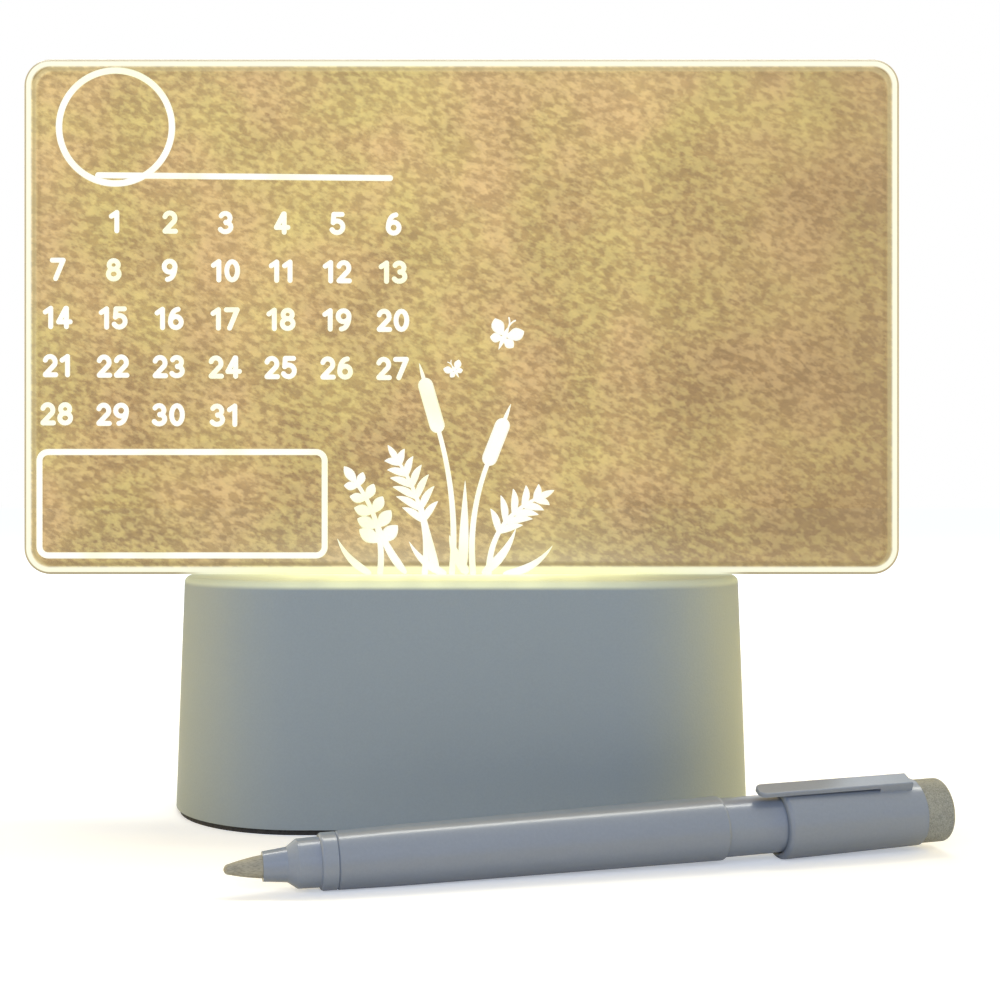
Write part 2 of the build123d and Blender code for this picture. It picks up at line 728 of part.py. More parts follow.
# Felt eraser whose stem sits in the cap's cup
with BuildPart() as felt_eraser:
    with BuildSketch(pen_plane):
        with BuildLine():
            Polyline(
                (cup_floor, 0),
                (cup_floor, eraser_stem_radius),
                (cap_end, eraser_stem_radius),
                (cap_end, eraser_head_radius),
                (pen_end, eraser_head_radius),
                (pen_end, 0),
                close=True,
            )
        make_face()
    revolve(axis=pen_line)
    eraser_rim = felt_eraser.faces().sort_by(pen_line)[-1].edges()
    fillet(eraser_rim, eraser_edge_fillet)
felt_eraser.part.label = "felt_eraser"
export_step(felt_eraser.part, "parts/felt_eraser.step")
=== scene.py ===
"""Looks of the lighted writing board: its finishes, the glowing print, the pen and a plain studio."""

import logging
import math
from dataclasses import dataclass, field
from enum import Enum
from typing import Any, Callable, Union

import bmesh
import bpy
import numpy as np
from mathutils import Euler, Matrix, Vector


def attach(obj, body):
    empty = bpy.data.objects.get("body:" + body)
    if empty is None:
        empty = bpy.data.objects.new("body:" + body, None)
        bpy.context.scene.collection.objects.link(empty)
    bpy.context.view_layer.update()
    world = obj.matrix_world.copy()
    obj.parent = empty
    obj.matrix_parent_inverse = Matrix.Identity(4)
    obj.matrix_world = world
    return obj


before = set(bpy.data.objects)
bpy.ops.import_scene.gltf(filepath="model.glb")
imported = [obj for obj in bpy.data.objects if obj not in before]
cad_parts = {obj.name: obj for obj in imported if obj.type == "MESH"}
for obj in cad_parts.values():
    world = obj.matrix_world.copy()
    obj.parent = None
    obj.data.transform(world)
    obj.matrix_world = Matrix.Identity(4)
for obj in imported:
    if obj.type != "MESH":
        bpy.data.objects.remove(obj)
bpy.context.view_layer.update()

MM = 0.001
TINY = 1e-6
PANEL_BODY = "panel"
# The colour sockets of a Mix node: two of its inputs and one of its outputs.
MIX_FIRST, MIX_SECOND, MIX_RESULT = 6, 7, 2
Pair = tuple[float, float]
Triple = tuple[float, float, float]
Colour = Triple
Array = np.ndarray
Material = bpy.types.Material
Point = Pair | Array
Value = Union[float, int, tuple, "Signal"]

log = logging.getLogger("writing_board")


def math_node(operation: str, swapped: bool = False) -> Callable[..., "Signal"]:
    """Makes a method of Signal that adds a Math node.

    Args:
        operation: the node's operation.
        swapped: whether the operands change places.

    Returns:
        The method.
    """
    def method(self: "Signal", *others: Value) -> "Signal":
        """The operation's result for this and the others."""
        operands = (*others, self) if swapped else (self, *others)
        made = self.recipe.node("ShaderNodeMath", {"operation": operation}, dict(enumerate(operands)))
        return self.recipe.out(made)

    return method


class Signal:
    """A shader socket whose operators add Math nodes, so that shader maths reads as an expression.

    Its at_least gives the larger of it and another value, and at_most the smaller.
    """

    def __init__(self, recipe: "Recipe", socket: bpy.types.NodeSocket) -> None:
        """Keeps the socket and the recipe that it belongs to."""
        self.recipe = recipe
        self.socket = socket

    __add__ = __radd__ = math_node("ADD")
    __mul__ = __rmul__ = math_node("MULTIPLY")
    __sub__ = math_node("SUBTRACT")
    __rsub__ = math_node("SUBTRACT", swapped=True)
    __truediv__ = math_node("DIVIDE")
    __pow__ = math_node("POWER")
    __abs__ = math_node("ABSOLUTE")
    at_least = math_node("MAXIMUM")
    at_most = math_node("MINIMUM")
    exp = math_node("EXPONENT")
    cos = math_node("COSINE")

    def wave(self, pitch: float) -> "Signal":
        """A cosine wave of this: 0 at every multiple of the pitch and 1 midway between them."""
        return 0.5 + 0.5 * (self * (2.0 * math.pi / pitch) + math.pi).cos()

    def step(self, low: float, high: float) -> "Signal":
        """A smooth step.

        Args:
            low: where the step starts.
            high: where it ends; below low, the step goes down.

        Returns:
            0 at low and 1 at high.
        """
        sign = 1.0 if high > low else -1.0
        values = {"Value": self * sign, "From Min": low * sign, "From Max": high * sign}
        settings = {"interpolation_type": "SMOOTHSTEP"}
        return self.recipe.out(self.recipe.node("ShaderNodeMapRange", settings, values))


class Recipe:
    """Builds the nodes of one material or world."""

    def __init__(self, owner: Material | bpy.types.World) -> None:
        """Clears the owner's nodes, ready for new ones."""
        owner.use_nodes = True
        self.owner = owner
        self.tree = owner.node_tree
        self.tree.nodes.clear()

    def node(self, kind: str, settings: dict[str, Any] | None = None,
             inputs: dict[str | int, Value] | None = None) -> bpy.types.Node:
        """Adds a node of any type.

        Args:
            kind: the node's type.
            settings: its properties, which are set first.
            inputs: values or signals for its sockets, by name or number.

        Returns:
            The node.
        """
        made = self.tree.nodes.new(kind)
        for key, value in (settings or {}).items():
            setattr(made, key, value)
        for key, value in (inputs or {}).items():
            if isinstance(value, Signal):
                self.tree.links.new(value.socket, made.inputs[key])
            else:
                made.inputs[key].default_value = value
        return made

    def out(self, made: bpy.types.Node, socket: str | int = 0) -> Signal:
        """One of a node's outputs as a signal."""
        return Signal(self, made.outputs[socket])

    def place(self) -> Signal:
        """The point's place on the object, in metres."""
        return self.out(self.node("ShaderNodeTexCoord"), "Object")

    def millimetres(self) -> tuple[Signal, Signal, Signal]:
        """The point's x, y and z on the object, in millimetres."""
        parts = self.node("ShaderNodeSeparateXYZ", inputs={0: self.place()})
        return tuple(self.out(parts, axis) / MM for axis in range(3))

    def noise(self, grain_mm: float, detail: float = 2.0, stretch: Triple = (1.0, 1.0, 1.0),
              turn: Triple = (0.0, 0.0, 0.0)) -> Signal:
        """Soft noise on the object's place.

        Args:
            grain_mm: the size of its grains.
            detail: how many finer layers it has.
            stretch: how much longer the grains are along each axis.
            turn: how far the stretched grains are turned about each axis, in degrees.

        Returns:
            A value around 0.5.
        """
        mapped = self.node("ShaderNodeMapping", {"vector_type": "TEXTURE"}, {
            "Vector": self.place(), "Scale": tuple(grain_mm * MM * s for s in stretch),
            "Rotation": tuple(math.radians(t) for t in turn)})
        return self.out(self.node("ShaderNodeTexNoise", inputs={
            "Vector": self.out(mapped), "Scale": 1.0, "Detail": detail}))

    def blend(self, share: Value, first: Colour | Signal, second: Colour | Signal) -> Signal:
        """A mix of two colours.

        Args:
            share: how much of the second there is, 0 to 1.
            first: the colour at 0.
            second: the colour at 1.

        Returns:
            The mixed colour.
        """
        colours = [c if isinstance(c, Signal) else (*c, 1.0) for c in (first, second)]
        made = self.node("ShaderNodeMix", {"data_type": "RGBA"}, {
            "Factor": share, MIX_FIRST: colours[0], MIX_SECOND: colours[1]})
        return self.out(made, MIX_RESULT)

    def scaled(self, colour: Colour | Signal, by: Value) -> Signal:
        """A colour times a value, from black at 0."""
        return self.blend(by, (0.0, 0.0, 0.0), colour)

    def bump(self, height: Signal, depth_mm: float) -> Signal:
        """A normal from a height signal of 0 to 1 that spans a real depth."""
        return self.out(self.node("ShaderNodeBump", inputs={
            "Height": height, "Distance": depth_mm * MM, "Strength": 1.0}))

    def principled(self, **sockets: Value) -> Signal:
        """A Principled shader, whose sockets are named with low lines for spaces."""
        named = {key.replace("_", " "): (*value, 1.0) if isinstance(value, tuple) else value
                 for key, value in sockets.items()}
        return self.out(self.node("ShaderNodeBsdfPrincipled", inputs=named))

    def shade(self, share: Value, first: Signal, second: Signal) -> Signal:
        """A Mix Shader between two shaders."""
        return self.out(self.node("ShaderNodeMixShader", inputs={0: share, 1: first, 2: second}))

    def finish(self, shader: Signal) -> Any:
        """Links the shader to the output and returns the material or world."""
        kind = "World" if isinstance(self.owner, bpy.types.World) else "Material"
        self.node(f"ShaderNodeOutput{kind}", inputs={"Surface": shader})
        return self.owner


def times(colour: Colour, by: float) -> Colour:
    """A colour times a number, at most 1."""
    return tuple(min(1.0, part * by) for part in colour)


@dataclass(frozen=True)
class Finish:
    """One procedural material."""

    name: str

    def build(self) -> Material:
        """Builds the material."""
        recipe = Recipe(bpy.data.materials.new(self.name))
        return recipe.finish(self.shader(recipe))

    def shader(self, recipe: Recipe) -> Signal:
        """The finish's shader.

        Args:
            recipe: the material being built.

        Returns:
            The shader.
        """
        raise NotImplementedError


@dataclass(frozen=True)
class Plastic(Finish):
    """Moulded plastic with a spark-eroded grain and faint flow marks.

    The grain is fine noise in the bump and the colour, and the flow marks are wide noise in the colour. Both
    stir the roughness.
    """

    colour: Colour
    roughness: float = 0.5
    grain_mm: float = 0.35
    grain_depth_mm: float = 0.02
    marks: float = 0.06
    marks_mm: float = 14.0
    coat: float = 0.0
    coat_roughness: float = 0.18
    grain_range: Pair = (0.3, 0.7)
    gloss_spread: float = 0.08

    def shader(self, recipe: Recipe) -> Signal:
        """The finish's shader."""
        return recipe.principled(**self.surface(recipe))

    def surface(self, recipe: Recipe) -> dict[str, Value]:
        """The Principled sockets that a moulded surface sets.

        Args:
            recipe: the material being built.

        Returns:
            Sockets by name.
        """
        flow = recipe.noise(self.marks_mm, 3.0)
        grain = recipe.noise(self.grain_mm, 3.0)
        dark, light = times(self.colour, 1.0 - self.marks), times(self.colour, 1.0 + self.marks)
        stir = self.gloss_spread * (flow * 0.5 + grain * 0.5)
        return {
            "Base_Color": recipe.blend(flow * 0.5 + grain.step(*self.grain_range) * 0.5, dark, light),
            "Roughness": self.roughness - self.gloss_spread / 2.0 + stir,
            "Normal": recipe.bump(grain, self.grain_depth_mm),
            "Coat_Weight": self.coat,
            "Coat_Roughness": self.coat_roughness,
        }


@dataclass(frozen=True)
class LampLitPlastic(Plastic):
    """The base's plastic, with light painted on its top: emission where the lamps shine out of the slot.

    Across the top the glow falls off with the exponential of the distance from the slot. Along it the glow
    drops smoothly towards both ends, with a ripple at the lamps' pitch. It ends over the rounded rim.
    """

    glow: Colour = (1.0, 0.98, 0.42)
    glow_strength: float = 1.25
    slot_half_mm: float = 2.0
    across_mm: float = 40.0
    middle_mm: float = -5.0
    along_mm: Pair = (14.0, 62.0)
    along_drop: float = 0.80
    rim_mm: Pair = (50.9, 52.0)
    lamp_pitch_mm: float = 10.0
    last_lamp_mm: Pair = (36.0, 44.0)
    ripple: float = 0.10
    wash_mm: float = 9.0
    wash: float = 0.28

    def shader(self, recipe: Recipe) -> Signal:
        """The finish's shader."""
        x, y, z = recipe.millimetres()
        across = ((abs(y) - self.slot_half_mm).at_least(0.0) / -self.across_mm).exp()
        along = 1.0 - self.along_drop * abs(x - self.middle_mm).step(*self.along_mm)
        near = 1.0 - abs(x).step(*self.last_lamp_mm)
        rippled = 1.0 - self.ripple + self.ripple * x.wave(self.lamp_pitch_mm) * near
        washed = 1.0 - self.wash / 2.0 + self.wash * recipe.noise(self.wash_mm, 2.0)
        share = across * along * rippled * z.step(*self.rim_mm) * washed
        surface = self.surface(recipe)
        # Painted light: emission on the shell's top and rim stands in for the lamps' light falling on it.
        surface["Emission_Color"] = recipe.scaled(self.glow, share.at_most(1.0))
        surface["Emission_Strength"] = self.glow_strength
        return recipe.principled(**surface)


@dataclass(frozen=True)
class EdgeLitAcrylic(Finish):
    """Clear acrylic lit through its lower edge.

    A warm tint lets the background through. A sandy haze glows: near the edges and the slot with the lamps'
    light, and elsewhere with painted light, a sandy pattern that stands in for lit ground seen through the
    clear panel. A line all round glows cream where the light leaves, between a painted shade on the bevel
    and a thin painted shade band inside it. The line is the set of points whose distance inside a rounded
    rectangle is under line_mm. A pair says where a smooth step starts and ends, and a share how much of a
    colour or a pattern is mixed in.
    """

    centre_z_mm: float
    half_width_mm: float
    half_height_mm: float
    corner_mm: float
    line_mm: float = 1.70
    soft_mm: float = 0.35
    bevel_start_mm: Pair = (0.01, 0.06)
    bevel_stop_mm: Pair = (0.65, 0.35)
    shade_start_mm: Pair = (1.70, 2.20)
    shade_stop_mm: Pair = (3.30, 2.30)
    seat_half_mm: Pair = (66.0, 58.0)
    seat_rise_mm: Pair = (1.6, 0.6)
    halo_mm: float = 6.0
    rise_mm: float = 8.0
    rise_half_mm: Pair = (20.0, 70.0)
    cloud_mm: float = 30.0
    cloud_range: Pair = (0.28, 0.72)
    cloud_share: float = 0.30
    sand_mm: float = 1.25
    sand_stretch: Triple = (1.5, 1.0, 0.9)
    sand_turn: Triple = (0.0, 24.0, 0.0)
    sand_range: Pair = (0.37, 0.65)
    sand_share: float = 0.68
    sand_fade: float = 0.24
    hue_mm: float = 22.0
    hue_range: Pair = (0.34, 0.64)
    right_start: float = 0.05
    right_drop: float = 0.18
    high_share: float = 0.22
    drop: float = 0.06
    halo_share: float = 0.10
    rise_share: float = 0.55
    shade_share: float = 0.7
    low_rim_share: float = 0.75
    bevel_share: float = 0.85
    tint: Colour = (0.80, 0.685, 0.51)
    haze: float = 0.45
    haze_rise: float = 0.25
    haze_shade: float = 0.16
    # Colours of the painted light that stands in for lit ground seen through the panel.
    haze_low: Colour = (0.11, 0.045, 0.012)
    haze_pink: Colour = (0.84, 0.60, 0.28)
    haze_yellow: Colour = (0.78, 0.69, 0.23)
    body: Colour = (0.16, 0.12, 0.05)
    line_body: Colour = (0.34, 0.34, 0.29)
    glow: Colour = (0.70, 0.69, 0.53)
    glow_low: Colour = (0.74, 0.73, 0.24)
    # The painted shade's colour, on the bevel and in the thin band inside the line.
    dark: Colour = (0.16, 0.12, 0.055)
    roughness: float = 0.05
    line_roughness: float = 0.25
    refraction: float = 1.49

    def shader(self, recipe: Recipe) -> Signal:
        """The finish's shader."""
        x, _, z = recipe.millimetres()
        low = z - (self.centre_z_mm - self.half_height_mm)
        depth = self.depth(x, z)
        line = depth.step(self.line_mm + self.soft_mm, self.line_mm - self.soft_mm)
        # Painted shade: the emission goes dark on the bevel at the very edge, except where the panel sits in
        # the slot, and in a thin band inside the line.
        seated = low.step(*self.seat_rise_mm) * abs(x).step(*self.seat_half_mm)
        painted_bevel_shade = depth.step(*self.bevel_start_mm) * depth.step(*self.bevel_stop_mm) * (1.0 - seated)
        shade = depth.step(*self.shade_start_mm) * depth.step(*self.shade_stop_mm)
        halo = (depth.at_least(0.0) / -self.halo_mm).exp()
        rise = (low.at_least(0.0) / -self.rise_mm).exp() * (1.0 - abs(x).step(*self.rise_half_mm))
        shine = (halo * self.halo_share + rise * self.rise_share).at_most(1.0)
        # Painted light: away from the edges and the slot, the glow takes the painted ground's colour.
        lit = recipe.blend(shine, self.sand(recipe, x, low), self.glow)
        lit = recipe.blend(shade * self.shade_share, lit, self.dark)
        rim = recipe.blend(rise * self.low_rim_share, self.glow, self.glow_low)
        emission = recipe.blend(painted_bevel_shade * self.bevel_share, recipe.blend(line, lit, rim), self.dark)
        glossy = recipe.principled(
            Base_Color=recipe.blend(line * (1.0 - painted_bevel_shade), self.body, self.line_body),
            Roughness=self.roughness + self.line_roughness * line, IOR=self.refraction,
            Emission_Color=emission, Emission_Strength=1.0)
        clear = recipe.out(recipe.node("ShaderNodeBsdfTransparent", inputs={"Color": (*self.tint, 1.0)}))
        share = (self.haze + self.haze_rise * rise + self.haze_shade * shade + line).at_most(1.0)
        return recipe.shade(share, clear, glossy)

    def depth(self, x: Signal, z: Signal) -> Signal:
        """How far a point lies inside the panel's rounded rectangle, in millimetres.

        With q the point's offset past the corner arcs' centres, it is corner - |max(q, 0)| - min(max(q), 0).

        Args:
            x: the point's place along the panel.
            z: its height.

        Returns:
            The distance, below 0 outside.
        """
        past_x = abs(x) - (self.half_width_mm - self.corner_mm)
        past_z = abs(z - self.centre_z_mm) - (self.half_height_mm - self.corner_mm)
        round_part = (past_x.at_least(0.0) ** 2.0 + past_z.at_least(0.0) ** 2.0) ** 0.5
        return self.corner_mm - round_part - past_x.at_least(past_z).at_most(0.0)

    def sand(self, recipe: Recipe, x: Signal, low: Signal) -> Signal:
        """The painted glow's colour, standing in for lit ground seen through the panel: clouds and leaning
        grains, lighter high up, darker and plainer to the right.

        Args:
            recipe: the material being built.
            x: the point's place along the panel.
            low: its height above the panel's lower edge.

        Returns:
            The colour.
        """
        clouds = recipe.noise(self.cloud_mm, 3.0).step(*self.cloud_range)
        grains = recipe.noise(self.sand_mm, 2.5, self.sand_stretch, self.sand_turn).step(*self.sand_range)
        hue = recipe.noise(self.hue_mm, 3.0).step(*self.hue_range)
        right = x.step(self.right_start * self.half_width_mm, self.half_width_mm)
        high = low.step(0.0, 2.0 * self.half_height_mm)
        tone = clouds * self.cloud_share + grains * (self.sand_share - self.sand_fade * right)
        tone = tone + self.high_share * high - self.drop - self.right_drop * right
        bright = recipe.blend(hue, self.haze_pink, self.haze_yellow)
        return recipe.blend(tone.at_least(0.0), self.haze_low, bright)


@dataclass(frozen=True)
class GlowingInk(Finish):
    """White print that scatters the panel's light, yellower in soft patches."""

    white: Colour = (0.72, 0.72, 0.66)
    pale: Colour = (0.60, 0.66, 0.27)
    body: Colour = (0.42, 0.42, 0.40)
    patch_mm: float = 16.0
    patch_range: Pair = (0.46, 0.70)
    patch_share: float = 0.52
    grain_mm: float = 0.25
    grain_share: float = 0.10

    def shader(self, recipe: Recipe) -> Signal:
        """The finish's shader."""
        patches = recipe.noise(self.patch_mm, 1.0).step(*self.patch_range)
        grain = recipe.noise(self.grain_mm, 2.0)
        yellow = patches * self.patch_share + grain * self.grain_share
        return recipe.principled(
            Base_Color=self.body, Roughness=0.6, Normal=recipe.bump(grain, 0.01),
            Emission_Color=recipe.blend(yellow, self.white, self.pale), Emission_Strength=1.0)


@dataclass(frozen=True)
class Felt(Finish):
    """Pressed felt: matted fibres along the pen over wider lumps, darker in the pits."""

    colour: Colour
    fibre_mm: float = 0.28
    depth_mm: float = 0.14
    stretch: Triple = (3.0, 1.0, 1.0)
    turn: Triple = (0.0, 0.0, 15.0)
    lump_mm: float = 2.2
    lump_share: float = 0.35
    pit_range: Pair = (0.32, 0.62)
    pit_shade: float = 0.62

    def shader(self, recipe: Recipe) -> Signal:
        """The finish's shader."""
        fibres = recipe.noise(self.fibre_mm, 4.0, self.stretch, self.turn)
        lumps = recipe.noise(self.lump_mm, 2.0)
        height = fibres * (1.0 - self.lump_share) + lumps * self.lump_share
        shaded = times(self.colour, self.pit_shade)
        return recipe.principled(
            Base_Color=recipe.blend(height.step(*self.pit_range), shaded, self.colour),
            Roughness=0.95, Sheen_Weight=0.15, Normal=recipe.bump(height, self.depth_mm))


@dataclass(frozen=True)
class Foam(Finish):
    """Closed-cell foam: small round cells in a dark rubbery sheet."""

    colour: Colour
    cell_mm: float = 0.7
    smoothness: float = 0.4
    depth_mm: float = 0.12
    lightest: float = 1.7

    def shader(self, recipe: Recipe) -> Signal:
        """The finish's shader."""
        cells = recipe.out(recipe.node("ShaderNodeTexVoronoi", {"feature": "SMOOTH_F1"}, {
            "Vector": recipe.place(), "Scale": 1.0 / (self.cell_mm * MM), "Smoothness": self.smoothness}))
        return recipe.principled(
            Base_Color=recipe.blend(cells, self.colour, times(self.colour, self.lightest)),
            Roughness=0.85 - 0.15 * cells, Normal=recipe.bump(cells, self.depth_mm))


@dataclass(frozen=True)
class SolderMask(Finish):
    """A printed board: solder mask over copper tracks, which stand a little proud and look lighter."""

    mask: Colour
    track: Colour
    turn: Triple = (0.0, 0.0, 0.0)
    pitch_mm: float = 2.2
    length_share: float = 2.6
    track_mm: float = 0.16
    track_share: float = 0.8
    grain_mm: float = 0.4
    depth_mm: float = 0.04

    def shader(self, recipe: Recipe) -> Signal:
        """The finish's shader."""
        mapped = recipe.node("ShaderNodeMapping", inputs={
            "Vector": recipe.place(), "Scale": (1.0 / MM,) * 3,
            "Rotation": tuple(math.radians(t) for t in self.turn)})
        bricks = recipe.node("ShaderNodeTexBrick", {"offset": 0.35, "squash": 0.7, "squash_frequency": 3}, {
            "Vector": recipe.out(mapped), "Scale": 1.0, "Mortar Size": self.track_mm, "Mortar Smooth": 0.2,
            "Brick Width": self.pitch_mm * self.length_share, "Row Height": self.pitch_mm})
        tracks = recipe.out(bricks, "Fac") * self.track_share
        grain = recipe.noise(self.grain_mm, 2.0)
        height = tracks + grain * (1.0 - self.track_share)
        return recipe.principled(
            Base_Color=recipe.blend(tracks, self.mask, self.track),
            Roughness=0.28 + 0.14 * grain, Normal=recipe.bump(height, self.depth_mm))


@dataclass(frozen=True)
class PlatedSteel(Finish):
    """Plated steel with drawing lines and a few dull spots."""

    colour: Colour = (0.62, 0.62, 0.63)
    roughness: float = 0.28
    line_mm: float = 0.12
    line_stretch: Triple = (1.0, 12.0, 1.0)
    line_gloss: float = 0.18
    line_depth_mm: float = 0.006
    spot_mm: float = 1.6
    spot_range: Pair = (0.55, 0.75)
    spot_shade: float = 0.72

    def shader(self, recipe: Recipe) -> Signal:
        """The finish's shader."""
        lines = recipe.noise(self.line_mm, 3.0, self.line_stretch)
        spots = recipe.noise(self.spot_mm, 2.0).step(*self.spot_range)
        return recipe.principled(
            Base_Color=recipe.blend(spots, self.colour, times(self.colour, self.spot_shade)),
            Metallic=1.0, Roughness=self.roughness + self.line_gloss * lines,
            Normal=recipe.bump(lines, self.line_depth_mm))


@dataclass(frozen=True)
class Phosphor(Finish):
    """The lamps' yellow phosphor, brightest in the middle of each lamp."""

    pitch_mm: float = 10.0
    middle_range: Pair = (0.55, 0.95)
    case: Colour = (0.90, 0.88, 0.80)
    dye: Colour = (0.95, 0.74, 0.18)
    dim: Colour = (0.30, 0.24, 0.10)
    bright: Colour = (1.0, 0.90, 0.52)
    strength: float = 3.0

    def shader(self, recipe: Recipe) -> Signal:
        """The finish's shader."""
        x, _, _ = recipe.millimetres()
        middle = x.wave(self.pitch_mm).step(*self.middle_range)
        return recipe.principled(
            Base_Color=recipe.blend(middle, self.case, self.dye), Roughness=0.35,
            Emission_Color=recipe.blend(middle, self.dim, self.bright), Emission_Strength=self.strength)


def added(name: str, data: bpy.types.ID) -> bpy.types.Object:
    """Adds an object to the scene."""
    made = bpy.data.objects.new(name, data)
    bpy.context.scene.collection.objects.link(made)
    return made


class Outline(Enum):
    """How a printed line ends."""

    ROUND = "round caps at both ends"
    TAPER = "the width itself runs out at both ends"
    LOOP = "the line closes on itself"


@dataclass
class PrintSheet:
    """Collects printed ridges and leaves, and makes one mesh of them on the panel's front.

    All lengths are millimetres in the panel's plane: the first number runs along X and the second up Z.
    """

    front_mm: float = -2.0
    rise_mm: float = 0.09
    sink_mm: float = 0.02
    sides: int = 8
    cap_steps: int = 4
    points: list[Array] = field(default_factory=list)
    faces: list[list[int]] = field(default_factory=list)
    used: int = 0

    def ridge(self, line: Array, half_width: Array | float, outline: Outline) -> None:
        """Adds a closed low ridge along a line.

        Station i has the tangent T by central differences and the side S, which is T turned by a quarter.
        Ring point k is line + w cos(a) S across the panel, with a = 2 pi k / sides. It stands
        rise sin(a) (w / the largest w)^0.5 in front of it, or sink behind it on the lower half. A round cap
        adds stations past each end whose half width follows a quarter circle, and each end closes in a pole.

        Args:
            line: the stations, one row each.
            half_width: the half width at each station, or one for all.
            outline: how the ridge ends.
        """
        width = np.broadcast_to(np.asarray(half_width, float), (len(line),)).copy()
        if outline is Outline.ROUND:
            line, width = self._capped(line, width)
        loop = outline is Outline.LOOP
        if loop:
            tangent = np.roll(line, -1, axis=0) - np.roll(line, 1, axis=0)
        else:
            tangent = np.gradient(line, axis=0)
        tangent /= np.maximum(np.linalg.norm(tangent, axis=1, keepdims=True), TINY)
        side = np.column_stack((-tangent[:, 1], tangent[:, 0]))
        inner = slice(None) if loop else slice(1, -1)
        angle = np.arange(self.sides) * 2.0 * np.pi / self.sides
        flat = line[inner, None, :] + (width[inner, None] * np.cos(angle))[..., None] * side[inner, None, :]
        share = (width[inner] / max(width.max(), TINY)) ** 0.5
        lift = np.where(np.sin(angle) > TINY, self.rise_mm * np.sin(angle), 0.0) * share[:, None]
        lift -= np.where(np.sin(angle) < -TINY, self.sink_mm, 0.0)
        rings = np.stack((flat[..., 0], self.front_mm - lift, flat[..., 1]), axis=-1)
        count = len(rings)
        own = rings.reshape(-1, 3)
        i, k = np.meshgrid(np.arange(count if loop else count - 1), np.arange(self.sides), indexing="ij")
        here, ahead, after = i * self.sides, (i + 1) % count * self.sides, (k + 1) % self.sides
        parts = [np.stack((here + k, here + after, ahead + after, ahead + k), axis=-1).reshape(-1, 4)]
        if not loop:
            turn, pole = np.arange(self.sides), np.full(self.sides, len(own))
            after, end = (turn + 1) % self.sides, len(own) - self.sides
            parts += [np.column_stack((pole, after, turn))]
            parts += [np.column_stack((pole + 1, end + turn, end + after))]
            own = np.concatenate((own, np.insert(line[[0, -1]], 1, self.front_mm, axis=1)))
        self.points.append(own)
        for part in parts:
            self.faces += (part + self.used).tolist()
        self.used += len(own)

    def _capped(self, line: Array, width: Array) -> tuple[Array, Array]:
        """Adds a round cap past each end: stations w cos(b) outwards, with the half width w sin(b).

        Args:
            line: the stations.
            width: their half widths, w at an end.

        Returns:
            The stations and half widths with the caps.
        """
        beta = np.linspace(0.0, np.pi / 2.0, self.cap_steps, endpoint=False)
        parts, widths = [], []
        for end, towards, w in ((line[0], line[1], width[0]), (line[-1], line[-2], width[-1])):
            out = (end - towards) / max(np.linalg.norm(end - towards), TINY)
            parts.append(end + w * np.cos(beta)[:, None] * out)
            widths.append(w * np.sin(beta))
        return (np.concatenate((parts[0], line, parts[1][::-1])),
                np.concatenate((widths[0], width, widths[1][::-1])))

    def leaf(self, root: Array, tip: Array, width: float, bow: float = 0.0, fullest: float = 1.0,
             count: int = 11) -> None:
        """Adds a leaf.

        Its line is the parabola from root to tip that stands bow to the side at its middle, and its half
        width is width/2 times sin(pi t^fullest)^0.8 for t from 0 to 1.

        Args:
            root: where it starts.
            tip: where it ends.
            width: its largest width.
            bow: how far its line bows to the left of the way from root to tip.
            fullest: above 1 the widest part is nearer the tip, below 1 nearer the root.
            count: stations along it.
        """
        t = (1.0 - np.cos(np.linspace(0.0, np.pi, count))) / 2.0
        line = bowed(root, tip, bow, t)
        self.ridge(line, width / 2.0 * np.sin(np.pi * t ** fullest) ** 0.8, Outline.TAPER)

    def build(self, name: str, ink: Material) -> None:
        """Makes the mesh, puts it on the panel's body and dresses it.

        Args:
            name: the piece's name.
            ink: its material.
        """
        mesh = bpy.data.meshes.new(name)
        mesh.from_pydata((np.concatenate(self.points) * MM).tolist(), [], self.faces)
        cleaner = bmesh.new()
        cleaner.from_mesh(mesh)
        bmesh.ops.recalc_face_normals(cleaner, faces=cleaner.faces)
        cleaner.to_mesh(mesh)
        cleaner.free()
        mesh.polygons.foreach_set("use_smooth", np.ones(len(mesh.polygons), bool))
        mesh.materials.append(ink)
        piece = added(name, mesh)
        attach(piece, PANEL_BODY)
        log.info("%s: %d faces", name, len(mesh.polygons))


def arc(centre: Point, radii: Pair, start: float, stop: float, count: int = 15) -> Array:
    """Points of an ellipse, centre + (rx cos a, rz sin a), for a from start to stop in degrees."""
    a = np.radians(np.linspace(start, stop, count))
    return np.column_stack((centre[0] + radii[0] * np.cos(a), centre[1] + radii[1] * np.sin(a)))


def oval(centre: Point, radii: Pair, count: int = 20) -> Array:
    """Points of a whole ellipse, with no point twice."""
    return arc(centre, radii, 0.0, 360.0, count + 1)[:-1]


def straight(start: Point, stop: Point, count: int = 4) -> Array:
    """Even points from one end to the other."""
    t = np.linspace(0.0, 1.0, count)[:, None]
    return np.asarray(start) * (1.0 - t) + np.asarray(stop) * t


def bowed(root: Point, tip: Point, bow: float, t: Array) -> Array:
    """A parabola through root and tip: root + t (tip - root) + 4 bow t (1 - t) N, with N its left normal."""
    root, tip = np.asarray(root, float), np.asarray(tip, float)
    way = tip - root
    normal = np.array([-way[1], way[0]]) / max(np.linalg.norm(way), TINY)
    return root + t[:, None] * way + (4.0 * bow * t * (1.0 - t))[:, None] * normal


def turned(vector: Array, degrees: float) -> Array:
    """A plane vector turned to the left."""
    a = math.radians(degrees)
    return np.array([vector[0] * math.cos(a) - vector[1] * math.sin(a),
                     vector[0] * math.sin(a) + vector[1] * math.cos(a)])


